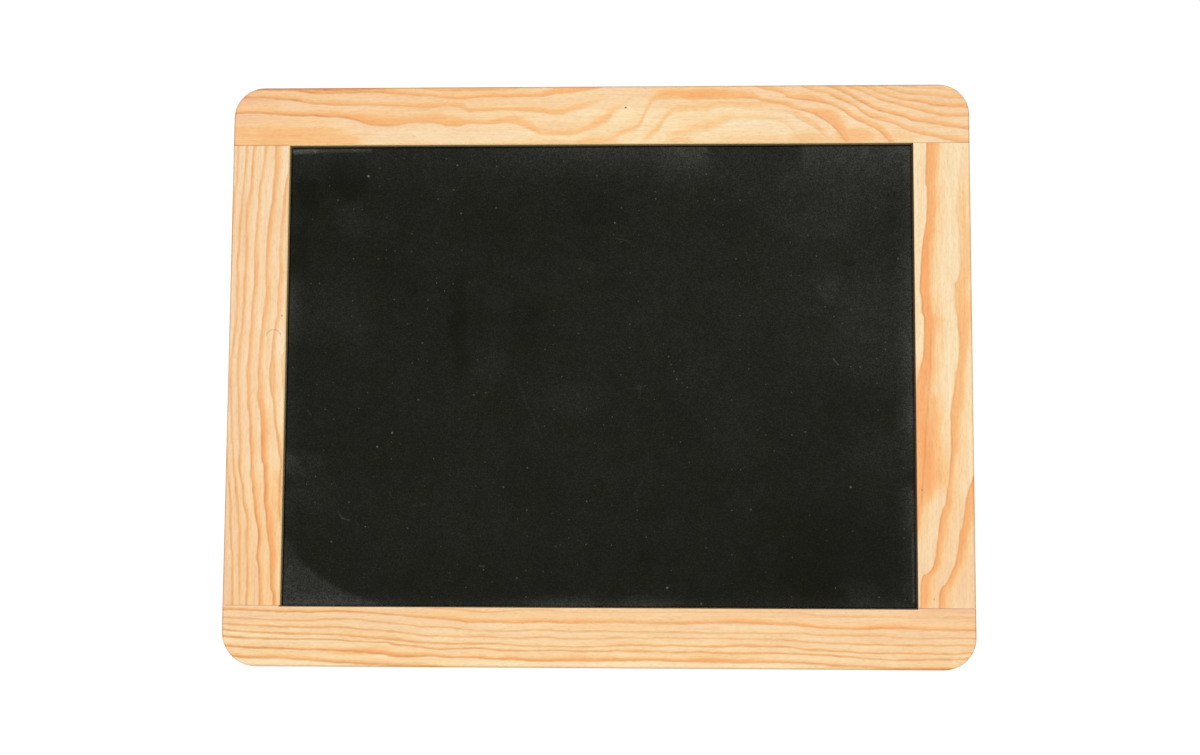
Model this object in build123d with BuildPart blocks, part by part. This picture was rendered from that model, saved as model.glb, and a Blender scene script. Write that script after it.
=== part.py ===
"""School slate: a bevelled slate panel held in a grooved pine frame with bridle-jointed corners.

Millimetres. The board lies on its back: X runs along the long rails, Y towards the top rail and
Z out of the writing face. The origin is the centre of the back face.
"""

import os

from build123d import *

# Driving dimensions of the frame
board_length = 280.0
board_height = 220.0
frame_thickness = 11.0
rail_width = 22.5
stile_width = 21.7
top_left_radius = 11.5
top_right_radius = 11.5
bottom_left_radius = 13.0
bottom_right_radius = 12.0
arris_radius = 0.8
sight_easing = 0.4

# Driving dimensions of the slate: the reveal is how much of its bevel shows inside the frame
slate_thickness = 3.6
slate_rim_thickness = 1.8
bevel_reveal = 1.6

# Driving dimensions of the joinery: room for the slate to move, and glue lines at the tenons
groove_depth = 6.0
slate_edge_gap = 1.0
slate_clearance = 0.05
tenon_clearance = 0.1
tenon_edge_gap = 0.3
shoulder_gap = 0.1

# The sight opening is the part of the slate that the frame leaves bare
sight_length = board_length - 2 * stile_width
sight_height = board_height - 2 * rail_width

# The slate enters the groove by its bite, and its bevel starts a little inside the sight opening
slate_bite = groove_depth - slate_edge_gap
slate_length = sight_length + 2 * slate_bite
slate_height = sight_height + 2 * slate_bite
bevel_width = slate_bite + bevel_reveal
bevel_drop = (slate_thickness - slate_rim_thickness) / 2

# One cutter makes the grooves and the open mortises, set to the slate's thickness at the groove's mouth
mouth_thickness = slate_thickness - 2 * bevel_drop * bevel_reveal / bevel_width
groove_width = mouth_thickness + 2 * slate_clearance
tenon_thickness = groove_width - 2 * tenon_clearance
tenon_width = stile_width - groove_depth
mortise_length = tenon_width + tenon_edge_gap
middle = frame_thickness / 2
rail_centre = (board_height - rail_width) / 2
stile_centre = (board_length - stile_width) / 2
stile_length = sight_height - 2 * shoulder_gap

# The outside of the glued frame: corners rounded on the sander, outer arrises eased
corner_radii = {
    (-1, 1): top_left_radius,
    (1, 1): top_right_radius,
    (-1, -1): bottom_left_radius,
    (1, -1): bottom_right_radius,
}
with BuildPart() as envelope:
    with BuildSketch() as outline:
        Rectangle(board_length, board_height)
        for (side_x, side_y), radius in corner_radii.items():
            corner = (side_x * board_length / 2, side_y * board_height / 2)
            fillet(outline.vertices().sort_by_distance(corner)[0], radius)
    extrude(amount=frame_thickness)
    rims = envelope.faces().filter_by(Axis.Z).edges()
    fillet(rims, arris_radius)

# The easing of the inner arrises, sanded round the sight opening on both faces
with BuildPart() as sight_bevel:
    for face_plane in (Plane.XY, Plane.XY.offset(frame_thickness).rotated((180, 0, 0))):
        with BuildSketch(face_plane):
            Rectangle(sight_length + 2 * sight_easing, sight_height + 2 * sight_easing)
        with BuildSketch(face_plane.offset(sight_easing)):
            Rectangle(sight_length, sight_height)
        loft(ruled=True)


def make_rail(side):
    """A long rail: grooved along its inner edge, with an open mortise through each end."""
    with BuildPart() as rail:
        with BuildSketch():
            with Locations((0, side * rail_centre)):
                Rectangle(board_length, rail_width)
        extrude(amount=frame_thickness)
        with BuildSketch(Plane.XY.offset(middle)):
            with Locations((0, side * (sight_height + groove_depth) / 2)):
                Rectangle(board_length, groove_depth)
            with Locations((0, side * rail_centre)):
                with GridLocations(board_length - mortise_length, 0, 2, 1):
                    Rectangle(mortise_length, rail_width)
        extrude(amount=groove_width / 2, both=True, mode=Mode.SUBTRACT)
        add(sight_bevel.part, mode=Mode.SUBTRACT)
        add(envelope.part, mode=Mode.INTERSECT)
    return rail


def make_stile(side):
    """A short stile: grooved along its inner edge, with a through tenon at each end."""
    with BuildPart() as stile:
        with BuildSketch():
            with Locations((side * stile_centre, 0)):
                Rectangle(stile_width, stile_length)
        extrude(amount=frame_thickness)
        with BuildSketch(Plane.XY.offset(middle)):
            with Locations((side * (board_length - tenon_width) / 2, 0)):
                Rectangle(tenon_width, board_height)
        extrude(amount=tenon_thickness / 2, both=True)
        with BuildSketch(Plane.XY.offset(middle)):
            with Locations((side * (sight_length + groove_depth) / 2, 0)):
                Rectangle(groove_depth, board_height)
        extrude(amount=groove_width / 2, both=True, mode=Mode.SUBTRACT)
        add(sight_bevel.part, mode=Mode.SUBTRACT)
        add(envelope.part, mode=Mode.INTERSECT)
    return stile


top_rail = make_rail(1)
bottom_rail = make_rail(-1)
left_stile = make_stile(-1)
right_stile = make_stile(1)

# The slate: planed on both faces, its rim bevelled all round to enter the groove
with BuildPart() as slate_panel:
    with BuildSketch(Plane.XY.offset(middle)):
        Rectangle(slate_length, slate_height)
    extrude(amount=slate_rim_thickness / 2, both=True)
    for face in (-1, 1):
        rim_plane = Plane.XY.offset(middle + face * slate_rim_thickness / 2)
        with BuildSketch(rim_plane):
            Rectangle(slate_length, slate_height)
        with BuildSketch(rim_plane.offset(face * bevel_drop)):
            Rectangle(slate_length - 2 * bevel_width, slate_height - 2 * bevel_width)
        loft(ruled=True)

pieces = {
    "top_rail": top_rail,
    "bottom_rail": bottom_rail,
    "left_stile": left_stile,
    "right_stile": right_stile,
    "slate_panel": slate_panel,
}
os.makedirs("parts", exist_ok=True)
for name, piece in pieces.items():
    piece.part.label = name
    export_step(piece.part, f"parts/{name}.step")
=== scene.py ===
"""School slate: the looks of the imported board, laid out as an add-on and run as a script.

The pine members keep the shapes of their joinery, and growth rings run along each of them.
The slate panel is grown by a node tree from the sizes of its solid.
Meshes are in metres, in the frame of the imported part. Places and patterns on them are in millimetres.
"""

import math
from typing import NamedTuple

import bpy
from bpy.props import FloatProperty, FloatVectorProperty, IntProperty, PointerProperty
from mathutils import Matrix, Vector


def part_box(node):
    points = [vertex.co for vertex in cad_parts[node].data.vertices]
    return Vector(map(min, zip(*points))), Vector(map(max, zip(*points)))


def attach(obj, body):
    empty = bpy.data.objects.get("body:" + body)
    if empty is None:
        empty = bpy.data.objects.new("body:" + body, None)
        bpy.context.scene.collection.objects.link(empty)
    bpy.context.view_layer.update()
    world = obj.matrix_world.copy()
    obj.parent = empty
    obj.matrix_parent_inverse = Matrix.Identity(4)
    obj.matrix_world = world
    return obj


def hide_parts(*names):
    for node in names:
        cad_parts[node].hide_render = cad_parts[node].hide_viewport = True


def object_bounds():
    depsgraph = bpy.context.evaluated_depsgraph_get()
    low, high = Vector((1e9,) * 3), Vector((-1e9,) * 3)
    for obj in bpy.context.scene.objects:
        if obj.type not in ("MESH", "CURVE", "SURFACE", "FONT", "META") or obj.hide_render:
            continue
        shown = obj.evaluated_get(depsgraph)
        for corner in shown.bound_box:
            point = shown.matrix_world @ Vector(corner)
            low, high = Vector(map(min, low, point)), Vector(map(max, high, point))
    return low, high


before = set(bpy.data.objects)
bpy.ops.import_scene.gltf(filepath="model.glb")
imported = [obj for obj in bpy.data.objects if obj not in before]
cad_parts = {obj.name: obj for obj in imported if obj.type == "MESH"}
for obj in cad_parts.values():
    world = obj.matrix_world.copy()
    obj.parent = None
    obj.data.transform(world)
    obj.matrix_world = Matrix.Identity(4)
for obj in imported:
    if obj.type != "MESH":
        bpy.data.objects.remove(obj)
cad_low, cad_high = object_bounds()

bl_info = {
    "name": "School Slate",
    "version": (1, 0, 0),
    "blender": (4, 5, 0),
    "location": "View3D > Sidebar > Slate",
    "description": "Finishes a pine-framed school slate around its packed solids",
    "category": "Object",
}

MILLIMETRE = 0.001

# The slate's box in metres, and places in the board in millimetres, from the frame
SLATE_LOW, SLATE_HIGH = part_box("slate_panel")
HALF_LENGTH = cad_high.x / MILLIMETRE
HALF_HEIGHT = cad_high.y / MILLIMETRE
HALF_THICKNESS = (cad_high.z - cad_low.z) / 2 / MILLIMETRE
RAIL_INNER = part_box("top_rail")[0].y / MILLIMETRE
STILE_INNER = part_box("right_stile")[0].x / MILLIMETRE
SLATE_HALF = (SLATE_HIGH.z - SLATE_LOW.z) / 2 / MILLIMETRE
SLATE_MIDDLE = (SLATE_LOW.z + SLATE_HIGH.z) / 2 / MILLIMETRE


def tone(red, green, blue):
    """A colour as seen on a screen, from 0 to 255, turned into the light that a surface gives back."""
    shares = [value / 255 for value in (red, green, blue)]
    return tuple(s / 12.92 if s <= 0.04045 else ((s + 0.055) / 1.055) ** 2.4 for s in shares)


def opaque(colour):
    """A colour as four numbers."""
    return (colour[0], colour[1], colour[2], 1.0)


class Band(NamedTuple):
    """One band of late wood: its boldness, its width, the line where it ends and how softly it ends there.

    The line follows points along the member, and so may the others.
    """

    boldness: object
    width: object
    line: tuple
    soft: object = 0.02


class Figure(NamedTuple):
    """How growth rings run through one member, as they show on its face.

    Places along the member run from 0 to 1, from left to right or from bottom to top.
    Places across it run from 0 at its inner edge to 1 at its outer edge.
    A band of late wood fades out from its line towards the outer edge where late_side is -1, and towards
    the inner edge where it is 1. Breadth widens or narrows every band. The seed tells members apart.
    The flush, the rose and the darkness of the lines follow points along the member.
    Shade is painted on the wall round the slate by two shares, the first beside the face and the second at
    the slate.
    Shade is painted on the sanded arris above it by one share, out to some millimetres from the wall.
    Stains are warm patches, each with its place, half sizes and strength. Marks are dark specks with the
    same values, but in millimetres. Scuffs have a centre and a radius in millimetres.
    """

    grain: str
    side: int
    late_side: int
    seed: float
    breadth: float
    flush_lean: float
    # Shares of painted shade on the wall round the slate and on the arris above it
    wall_shade: tuple
    arris_shade: tuple
    flush: tuple
    rose: object
    darkness: tuple
    stains: tuple
    bands: tuple
    marks: tuple = ()
    scuffs: tuple = ()


# Late wood as it lies on the four members, from the inner edge outwards
FIGURES = {
    "top_rail": Figure(
        grain="X", side=1, late_side=-1, seed=300.0, breadth=1.4, flush_lean=0.5, wall_shade=(0.0, 0.75),
        arris_shade=(0.0, 0.4),
        flush=(
            (0.0, 0.6), (0.05, 0.3), (0.1, 0.15), (0.2, 0.18), (0.3, 0.12), (0.42, -0.04), (0.55, -0.16),
            (0.75, -0.16), (0.85, 0.0), (0.95, 0.05), (1.0, 0.15),
        ),
        rose=((0.0, 0.35), (0.3, 0.1), (0.45, 0.0), (0.6, 0.0), (0.75, 0.4), (1.0, 0.5)),
        darkness=(
            (0.0, 1.5), (0.1, 1.2), (0.25, 0.6), (0.45, 0.3), (0.6, 0.35), (0.72, 0.55), (0.82, 0.9),
            (1.0, 0.6),
        ),
        stains=(
            ((0.845, 0.1), (0.04, 0.25), 0.55), ((0.785, 0.04), (0.045, 0.24), 0.45),
            ((0.7, -0.02), (0.06, 0.14), 0.4), ((0.61, 0.06), (0.025, 0.1), 0.4),
            ((0.505, 0.04), (0.035, 0.1), 0.45), ((0.42, 0.03), (0.1, 0.07), 0.3),
            ((0.3, 0.47), (0.05, 0.1), 0.35), ((0.01, 0.2), (0.03, 0.2), 0.6),
            ((0.97, 0.3), (0.05, 0.12), 0.3), ((0.1, 0.18), (0.1, 0.2), 0.4),
            ((0.9, 0.12), (0.06, 0.2), 0.3),
        ),
        bands=(
            Band(boldness=0.35, width=0.12, soft=0.05, line=(
                (0.0, -0.5), (0.6, -0.5), (0.655, -0.2), (0.68, -0.03), (0.7, -0.01), (0.735, -0.01),
                (0.75, -0.06), (0.765, -0.3), (1.0, -0.5),
            )),
            Band(
                boldness=0.32,
                width=((0.6, 0.135), (0.66, 0.149), (0.69, 0.068), (0.76, 0.068)),
                soft=0.05,
                line=(
                    (0.0, -0.5), (0.57, -0.4), (0.59, -0.05), (0.6, 0.07), (0.61, 0.12), (0.63, 0.19),
                    (0.65, 0.23), (0.66, 0.27), (0.67, 0.35), (0.68, 0.41), (0.69, 0.44), (0.7, 0.45),
                    (0.72, 0.43), (0.735, 0.415), (0.745, 0.38), (0.755, 0.31), (0.762, 0.21), (0.77, 0.1),
                    (0.778, -0.05), (0.8, -0.4), (1.0, -0.5),
                ),
            ),
            Band(boldness=0.45, width=0.1, soft=0.06, line=(
                (0.0, -0.5), (0.53, -0.4), (0.56, 0.0), (0.57, 0.1), (0.58, 0.22), (0.59, 0.4), (0.6, 0.51),
                (0.61, 0.56), (0.64, 0.56), (0.655, 0.6), (0.67, 0.635), (0.69, 0.62), (0.7, 0.6),
                (0.74, 0.575), (0.755, 0.54), (0.765, 0.48), (0.775, 0.38), (0.787, 0.3), (0.8, 0.19),
                (0.81, 0.08), (0.82, -0.05), (0.84, -0.4), (1.0, -0.5),
            )),
            Band(boldness=0.6, width=0.324, line=(
                (0.0, -0.02), (0.11, -0.02), (0.14, -0.1), (0.17, -0.25), (0.2, -0.5), (1.0, -0.5),
            )),
            Band(
                boldness=(
                    (0.0, 0.8), (0.33, 0.8), (0.4, 0.5), (0.52, 0.45), (0.57, 0.6), (0.6, 0.8), (0.7, 0.75),
                    (1.0, 0.75),
                ),
                width=(
                    (0.48, 0.095), (0.53, 0.09), (0.56, 0.08), (0.58, 0.108), (0.6, 0.135), (0.63, 0.135),
                    (0.68, 0.108), (0.71, 0.081), (0.74, 0.054), (0.78, 0.068), (0.8, 0.108), (0.82, 0.189),
                    (0.84, 0.216),
                ),
                soft=(
                    (0.0, 0.02), (0.52, 0.03), (0.555, 0.06), (0.62, 0.05), (0.7, 0.04), (0.76, 0.02),
                    (1.0, 0.02),
                ),
                line=(
                    (0.0, -0.5), (0.42, -0.3), (0.46, -0.1), (0.475, -0.03), (0.485, 0.0), (0.5, 0.015),
                    (0.515, 0.05), (0.53, 0.15), (0.55, 0.245), (0.557, 0.32), (0.561, 0.45), (0.566, 0.6),
                    (0.572, 0.71), (0.58, 0.77), (0.605, 0.795), (0.63, 0.765), (0.645, 0.78), (0.68, 0.77),
                    (0.7, 0.78), (0.712, 0.765), (0.72, 0.73), (0.75, 0.655), (0.765, 0.585), (0.78, 0.54),
                    (0.79, 0.495), (0.8, 0.43), (0.81, 0.35), (0.82, 0.24), (0.828, 0.12), (0.835, 0.0),
                    (0.85, -0.3), (1.0, -0.5),
                ),
            ),
            Band(
                boldness=(
                    (0.0, 0.8), (0.33, 0.8), (0.4, 0.55), (0.5, 0.5), (0.535, 0.3), (0.57, 0.1), (0.7, 0.6),
                    (1.0, 0.75),
                ),
                width=(
                    (0.0, 0.081), (0.1, 0.068), (0.14, 0.081), (0.17, 0.095), (0.19, 0.149), (0.23, 0.135),
                    (0.26, 0.108), (0.28, 0.135), (0.31, 0.108), (0.33, 0.061), (0.38, 0.095), (0.4, 0.108),
                    (0.42, 0.095), (0.48, 0.095), (0.51, 0.135), (0.53, 0.081), (0.72, 0.068),
                    (0.75, 0.081), (0.78, 0.095), (0.81, 0.068), (0.86, 0.081), (0.89, 0.108),
                ),
                soft=((0.0, 0.02), (0.44, 0.025), (0.5, 0.05), (0.56, 0.06), (0.7, 0.02), (1.0, 0.02)),
                line=(
                    (0.0, 0.55), (0.03, 0.56), (0.05, 0.54), (0.07, 0.515), (0.11, 0.5), (0.15, 0.485),
                    (0.16, 0.46), (0.17, 0.43), (0.18, 0.38), (0.19, 0.34), (0.2, 0.33), (0.22, 0.335),
                    (0.24, 0.37), (0.27, 0.385), (0.28, 0.37), (0.295, 0.32), (0.305, 0.315), (0.325, 0.36),
                    (0.345, 0.345), (0.37, 0.365), (0.38, 0.36), (0.39, 0.33), (0.41, 0.23), (0.42, 0.16),
                    (0.43, 0.15), (0.465, 0.165), (0.48, 0.22), (0.5, 0.31), (0.51, 0.37), (0.52, 0.5),
                    (0.53, 0.6), (0.54, 0.75), (0.55, 0.9), (0.56, 1.05), (0.63, 1.3), (0.7, 1.05),
                    (0.72, 0.945), (0.745, 0.87), (0.76, 0.77), (0.79, 0.72), (0.805, 0.68), (0.825, 0.58),
                    (0.835, 0.51), (0.845, 0.41), (0.865, 0.29), (0.88, 0.18), (0.89, 0.05), (0.9, -0.1),
                    (0.94, -0.4), (1.0, -0.5),
                ),
            ),
            Band(
                boldness=(
                    (0.0, 0.62), (0.44, 0.6), (0.5, 0.4), (0.54, 0.15), (0.76, 0.5), (0.82, 0.62),
                    (1.0, 0.62),
                ),
                width=0.068,
                soft=((0.0, 0.02), (0.42, 0.025), (0.5, 0.06), (0.6, 0.06), (0.76, 0.02), (1.0, 0.02)),
                line=(
                    (0.0, 0.84), (0.035, 0.83), (0.06, 0.8), (0.085, 0.77), (0.1, 0.73), (0.12, 0.71),
                    (0.165, 0.69), (0.2, 0.68), (0.23, 0.655), (0.265, 0.64), (0.29, 0.66), (0.305, 0.65),
                    (0.315, 0.62), (0.325, 0.57), (0.36, 0.575), (0.4, 0.56), (0.425, 0.54), (0.435, 0.515),
                    (0.445, 0.52), (0.465, 0.59), (0.48, 0.64), (0.5, 0.74), (0.51, 0.8), (0.525, 0.93),
                    (0.54, 1.1), (0.65, 1.4), (0.76, 1.1), (0.78, 0.94), (0.8, 0.87), (0.81, 0.84),
                    (0.82, 0.78), (0.835, 0.7), (0.85, 0.59), (0.86, 0.48), (0.88, 0.38), (0.895, 0.33),
                    (0.91, 0.24), (0.92, 0.19), (0.95, 0.1), (0.98, 0.01), (1.0, -0.04),
                ),
            ),
            Band(
                boldness=0.8,
                width=(
                    (0.1, 0.041), (0.13, 0.081), (0.2, 0.081), (0.28, 0.047), (0.42, 0.054), (0.44, 0.095),
                    (0.5, 0.095), (0.82, 0.054), (1.0, 0.061),
                ),
                line=(
                    (0.0, 1.0), (0.03, 0.955), (0.08, 0.945), (0.095, 0.93), (0.115, 0.905), (0.17, 0.91),
                    (0.2, 0.905), (0.22, 0.87), (0.25, 0.845), (0.265, 0.84), (0.28, 0.82), (0.315, 0.79),
                    (0.33, 0.81), (0.42, 0.82), (0.44, 0.86), (0.475, 0.9), (0.5, 0.96), (0.52, 1.1),
                    (0.65, 1.4), (0.79, 1.1), (0.81, 0.965), (0.82, 0.93), (0.83, 0.87), (0.845, 0.77),
                    (0.86, 0.67), (0.88, 0.545), (0.91, 0.45), (0.93, 0.36), (0.955, 0.31), (0.98, 0.255),
                    (1.0, 0.21),
                ),
            ),
            Band(boldness=0.62, width=0.061, line=(
                (0.0, 1.2), (0.24, 1.0), (0.27, 0.94), (0.3, 0.925), (0.36, 0.925), (0.385, 0.96),
                (0.41, 1.05), (0.6, 1.4), (0.82, 1.1), (0.835, 0.96), (0.85, 0.9), (0.865, 0.82),
                (0.885, 0.72), (0.905, 0.65), (0.935, 0.54), (0.955, 0.48), (0.975, 0.44), (1.0, 0.43),
            )),
            Band(boldness=0.62, width=0.068, line=(
                (0.0, 1.4), (0.8, 1.4), (0.84, 1.1), (0.855, 0.97), (0.87, 0.9), (0.89, 0.81), (0.91, 0.74),
                (0.935, 0.69), (0.955, 0.63), (1.0, 0.58),
            )),
            Band(boldness=0.55, width=0.068, line=(
                (0.0, 1.4), (0.82, 1.4), (0.86, 1.1), (0.88, 0.97), (0.9, 0.89), (0.92, 0.83), (0.95, 0.8),
                (0.97, 0.77), (1.0, 0.74),
            )),
            Band(
                boldness=((0.0, 0.0), (0.03, 0.5), (0.06, 0.95), (0.14, 0.95), (0.19, 0.6), (0.22, 0.0)),
                width=0.05,
                line=((0.0, 0.97), (0.12, 0.955), (0.2, 0.97), (0.3, 1.2), (1.0, 1.4)),
            ),
            Band(boldness=0.5, width=0.068, line=(
                (0.0, 1.4), (0.84, 1.4), (0.88, 1.1), (0.91, 0.96), (0.945, 0.92), (0.975, 0.89),
                (1.0, 0.86),
            )),
        ),
        marks=(((10.1, 101.6), (0.45, 0.38), 1.0),),
    ),
    "bottom_rail": Figure(
        grain="X", side=-1, late_side=1, seed=1700.0, breadth=1.0, flush_lean=-0.45, wall_shade=(0.1, 0.75),
        arris_shade=(0.95, 0.38),
        flush=((0.0, 0.42), (0.3, 0.46), (0.6, 0.47), (0.85, 0.6), (1.0, 0.7)),
        rose=0.0,
        darkness=((0.0, 1.0), (0.3, 0.8), (0.6, 0.55), (0.85, 0.6), (1.0, 0.75)),
        stains=(((0.5, 0.33), (0.15, 0.07), 0.28), ((0.18, 0.78), (0.05, 0.06), 0.4)),
        bands=(
            Band(boldness=0.45, width=0.035, line=(
                (0.0, -0.2), (0.22, -0.06), (0.3, 0.05), (0.335, 0.09), (0.36, 0.105), (0.385, 0.08),
                (0.42, 0.06), (0.44, 0.07), (0.465, 0.105), (0.52, 0.1), (0.58, 0.095), (0.66, 0.08),
                (0.7, 0.075), (0.77, 0.09), (0.805, 0.14), (0.88, 0.15), (0.95, 0.16), (1.0, 0.17),
            )),
            Band(
                boldness=0.8,
                width=(
                    (0.0, 0.045), (0.2, 0.04), (0.28, 0.06), (0.33, 0.075), (0.4, 0.075), (0.5, 0.07),
                    (0.6, 0.06), (0.7, 0.075), (0.8, 0.055), (0.9, 0.07), (1.0, 0.07),
                ),
                line=(
                    (0.0, 0.08), (0.02, 0.08), (0.04, 0.095), (0.1, 0.105), (0.12, 0.115), (0.15, 0.105),
                    (0.18, 0.115), (0.23, 0.155), (0.26, 0.185), (0.295, 0.22), (0.32, 0.25),
                    (0.335, 0.265), (0.4, 0.265), (0.41, 0.25), (0.44, 0.255), (0.46, 0.27), (0.54, 0.26),
                    (0.56, 0.28), (0.605, 0.28), (0.64, 0.265), (0.69, 0.255), (0.73, 0.27), (0.77, 0.29),
                    (0.8, 0.33), (0.84, 0.345), (0.89, 0.335), (0.94, 0.35), (1.0, 0.36),
                ),
            ),
            Band(boldness=0.55, width=0.032, line=(
                (0.0, 0.21), (0.03, 0.225), (0.07, 0.25), (0.12, 0.26), (0.13, 0.245), (0.17, 0.235),
                (0.2, 0.265), (0.23, 0.295), (0.26, 0.335), (0.27, 0.35), (0.295, 0.35), (0.325, 0.39),
                (0.37, 0.415), (0.425, 0.39), (0.46, 0.41), (0.505, 0.405), (0.56, 0.415), (0.62, 0.415),
                (0.65, 0.425), (0.77, 0.425), (0.8, 0.455), (0.87, 0.455), (0.895, 0.48), (0.93, 0.495),
                (0.96, 0.49), (1.0, 0.505),
            )),
            Band(boldness=0.6, width=0.035, line=(
                (0.0, 0.315), (0.04, 0.34), (0.1, 0.36), (0.12, 0.37), (0.16, 0.365), (0.185, 0.395),
                (0.215, 0.41), (0.235, 0.435), (0.255, 0.47), (0.28, 0.5), (0.335, 0.5), (0.36, 0.505),
                (0.39, 0.53), (0.43, 0.51), (0.46, 0.535), (0.51, 0.525), (0.55, 0.51), (0.61, 0.51),
                (0.69, 0.525), (0.74, 0.53), (0.78, 0.56), (0.82, 0.585), (0.9, 0.605), (1.0, 0.61),
            )),
            Band(
                boldness=0.7,
                width=(
                    (0.0, 0.025), (0.12, 0.04), (0.17, 0.05), (0.2, 0.055), (0.3, 0.038), (0.5, 0.04),
                    (0.63, 0.05), (0.75, 0.035), (1.0, 0.035),
                ),
                line=(
                    (0.0, 0.41), (0.03, 0.435), (0.09, 0.465), (0.14, 0.475), (0.175, 0.5), (0.205, 0.53),
                    (0.235, 0.565), (0.265, 0.605), (0.3, 0.615), (0.36, 0.615), (0.39, 0.645),
                    (0.445, 0.655), (0.48, 0.67), (0.515, 0.65), (0.55, 0.64), (0.61, 0.635),
                    (0.665, 0.655), (0.69, 0.64), (0.74, 0.64), (0.775, 0.68), (0.82, 0.71), (0.87, 0.74),
                    (0.94, 0.745), (1.0, 0.72),
                ),
            ),
            Band(boldness=0.75, width=0.032, line=(
                (0.0, 0.515), (0.02, 0.535), (0.05, 0.555), (0.15, 0.56), (0.18, 0.59), (0.215, 0.605),
                (0.235, 0.645), (0.265, 0.67), (0.295, 0.705), (0.33, 0.7), (0.39, 0.735), (0.45, 0.725),
                (0.48, 0.735), (0.53, 0.725), (0.61, 0.74), (0.64, 0.735), (0.66, 0.755), (0.7, 0.755),
                (0.74, 0.745), (0.8, 0.775), (0.83, 0.805), (0.87, 0.83), (0.91, 0.845), (0.97, 0.83),
                (1.0, 0.8),
            )),
            Band(
                boldness=0.95,
                width=(
                    (0.0, 0.04), (0.15, 0.05), (0.18, 0.065), (0.25, 0.075), (0.32, 0.045), (0.45, 0.06),
                    (0.6, 0.06), (0.65, 0.075), (0.8, 0.04), (1.0, 0.04),
                ),
                line=(
                    (0.0, 0.67), (0.04, 0.7), (0.08, 0.715), (0.1, 0.73), (0.14, 0.74), (0.18, 0.765),
                    (0.215, 0.79), (0.245, 0.83), (0.28, 0.825), (0.3, 0.84), (0.33, 0.84), (0.37, 0.87),
                    (0.39, 0.87), (0.42, 0.89), (0.49, 0.89), (0.53, 0.87), (0.56, 0.87), (0.62, 0.89),
                    (0.72, 0.895), (0.78, 0.905), (0.815, 0.94), (0.85, 0.965), (0.92, 0.985), (1.0, 0.98),
                ),
            ),
            Band(boldness=0.75, width=0.065, line=(
                (0.0, 0.82), (0.015, 0.845), (0.04, 0.865), (0.06, 0.86), (0.1, 0.885), (0.14, 0.925),
                (0.18, 0.955), (0.22, 0.975), (0.28, 1.0), (0.35, 1.1), (0.6, 1.2), (1.0, 1.3),
            )),
        ),
    ),
    "left_stile": Figure(
        grain="Y", side=-1, late_side=1, seed=2900.0, breadth=1.05, flush_lean=0.35, wall_shade=(0.0, 0.22),
        arris_shade=(0.0, 0.4),
        flush=((0.0, 0.3), (0.2, 0.18), (0.4, 0.02), (0.6, -0.02), (1.0, 0.0)),
        rose=((0.0, 0.0), (0.25, 0.15), (0.5, 0.7), (1.0, 0.8)),
        darkness=((0.0, 1.0), (0.3, 0.9), (0.5, 0.55), (1.0, 0.5)),
        stains=(((0.07, 0.16), (0.13, 0.16), 0.4), ((0.23, 0.08), (0.1, 0.17), 0.42)),
        bands=(
            Band(boldness=0.4, width=0.062, line=(
                (0.0, -0.2), (0.43, -0.1), (0.47, 0.045), (0.52, 0.06), (0.54, 0.04), (0.57, -0.1),
                (1.0, -0.2),
            )),
            Band(
                boldness=0.65,
                width=(
                    (0.0, 0.062), (0.43, 0.056), (0.48, 0.112), (0.52, 0.1), (0.55, 0.062), (0.62, 0.075),
                    (1.0, 0.062),
                ),
                line=(
                    (0.0, -0.2), (0.15, -0.05), (0.18, 0.03), (0.235, 0.06), (0.3, 0.05), (0.33, 0.085),
                    (0.36, 0.12), (0.39, 0.165), (0.425, 0.185), (0.45, 0.225), (0.48, 0.26), (0.505, 0.27),
                    (0.53, 0.24), (0.575, 0.225), (0.605, 0.19), (0.635, 0.155), (0.67, 0.16), (0.72, 0.14),
                    (0.755, 0.155), (0.79, 0.135), (0.825, 0.125), (0.86, 0.1), (0.9, 0.08), (0.93, 0.04),
                    (0.96, -0.02), (1.0, -0.1),
                ),
            ),
            Band(
                boldness=((0.0, 1.0), (0.35, 1.0), (0.5, 0.85), (1.0, 0.8)),
                width=(
                    (0.0, 0.075), (0.05, 0.075), (0.12, 0.125), (0.17, 0.125), (0.25, 0.081), (0.3, 0.094),
                    (0.36, 0.106), (0.43, 0.125), (0.48, 0.112), (0.56, 0.094), (0.65, 0.094), (0.8, 0.075),
                    (0.9, 0.069), (0.95, 0.088), (1.0, 0.088),
                ),
                line=(
                    (0.0, 0.12), (0.025, 0.125), (0.035, 0.165), (0.1, 0.18), (0.13, 0.215), (0.16, 0.245),
                    (0.2, 0.28), (0.235, 0.315), (0.25, 0.31), (0.265, 0.325), (0.285, 0.325),
                    (0.315, 0.365), (0.37, 0.39), (0.41, 0.415), (0.44, 0.465), (0.455, 0.475),
                    (0.47, 0.465), (0.5, 0.475), (0.56, 0.45), (0.61, 0.41), (0.65, 0.39), (0.68, 0.37),
                    (0.72, 0.38), (0.77, 0.375), (0.82, 0.35), (0.865, 0.315), (0.88, 0.295), (0.92, 0.285),
                    (0.95, 0.265), (1.0, 0.25),
                ),
            ),
            Band(boldness=((0.0, 0.95), (0.2, 0.95), (0.35, 0.75), (1.0, 0.65)), width=0.075, line=(
                (0.0, 0.36), (0.05, 0.37), (0.08, 0.38), (0.11, 0.42), (0.14, 0.405), (0.18, 0.445),
                (0.225, 0.5), (0.255, 0.52), (0.3, 0.56), (0.32, 0.56), (0.355, 0.585), (0.405, 0.61),
                (0.44, 0.645), (0.47, 0.655), (0.49, 0.67), (0.53, 0.655), (0.59, 0.63), (0.605, 0.615),
                (0.64, 0.61), (0.68, 0.585), (0.72, 0.575), (0.78, 0.58), (0.81, 0.565), (0.85, 0.55),
                (0.865, 0.535), (0.9, 0.53), (0.93, 0.49), (1.0, 0.44),
            )),
            Band(boldness=0.65, width=0.062, line=(
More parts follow.
